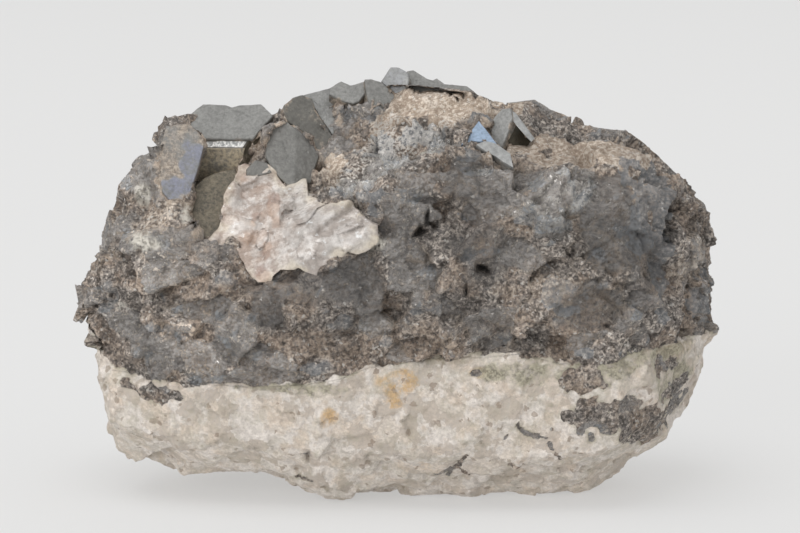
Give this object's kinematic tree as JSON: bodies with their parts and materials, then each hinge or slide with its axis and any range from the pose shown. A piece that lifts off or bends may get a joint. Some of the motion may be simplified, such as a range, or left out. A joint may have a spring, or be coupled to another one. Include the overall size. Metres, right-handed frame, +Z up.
{
  "type": "mineral specimen",
  "caption": "Broken hand specimen of pale granite with massive grey ore grown on it, flat-faced metallic crystals along its crest and a pale feldspar nodule.",
  "frame": {"origin": "on the surface that the stone stands on, under the middle of its bounding box", "axes": "+Z up, +X along the length of the stone, to the viewer's right, -Y towards the viewer: the face with the pale base, the ore and the nodule looks along -Y"},
  "size_m": [0.15, 0.0872, 0.0978],
  "materials": {
    "granite": "rough broken granite, off-white feldspar with smoky quartz grains and ochre stains",
    "ore": "granular dark grey-brown ore with a dull metallic glitter",
    "crystal": "flat crystal faces with a satin metallic sheen",
    "feldspar": "pinkish white, slightly glassy"
  },
  "bodies": {
    "root": {"rock": "granite"}
  },
  "joints": []
}
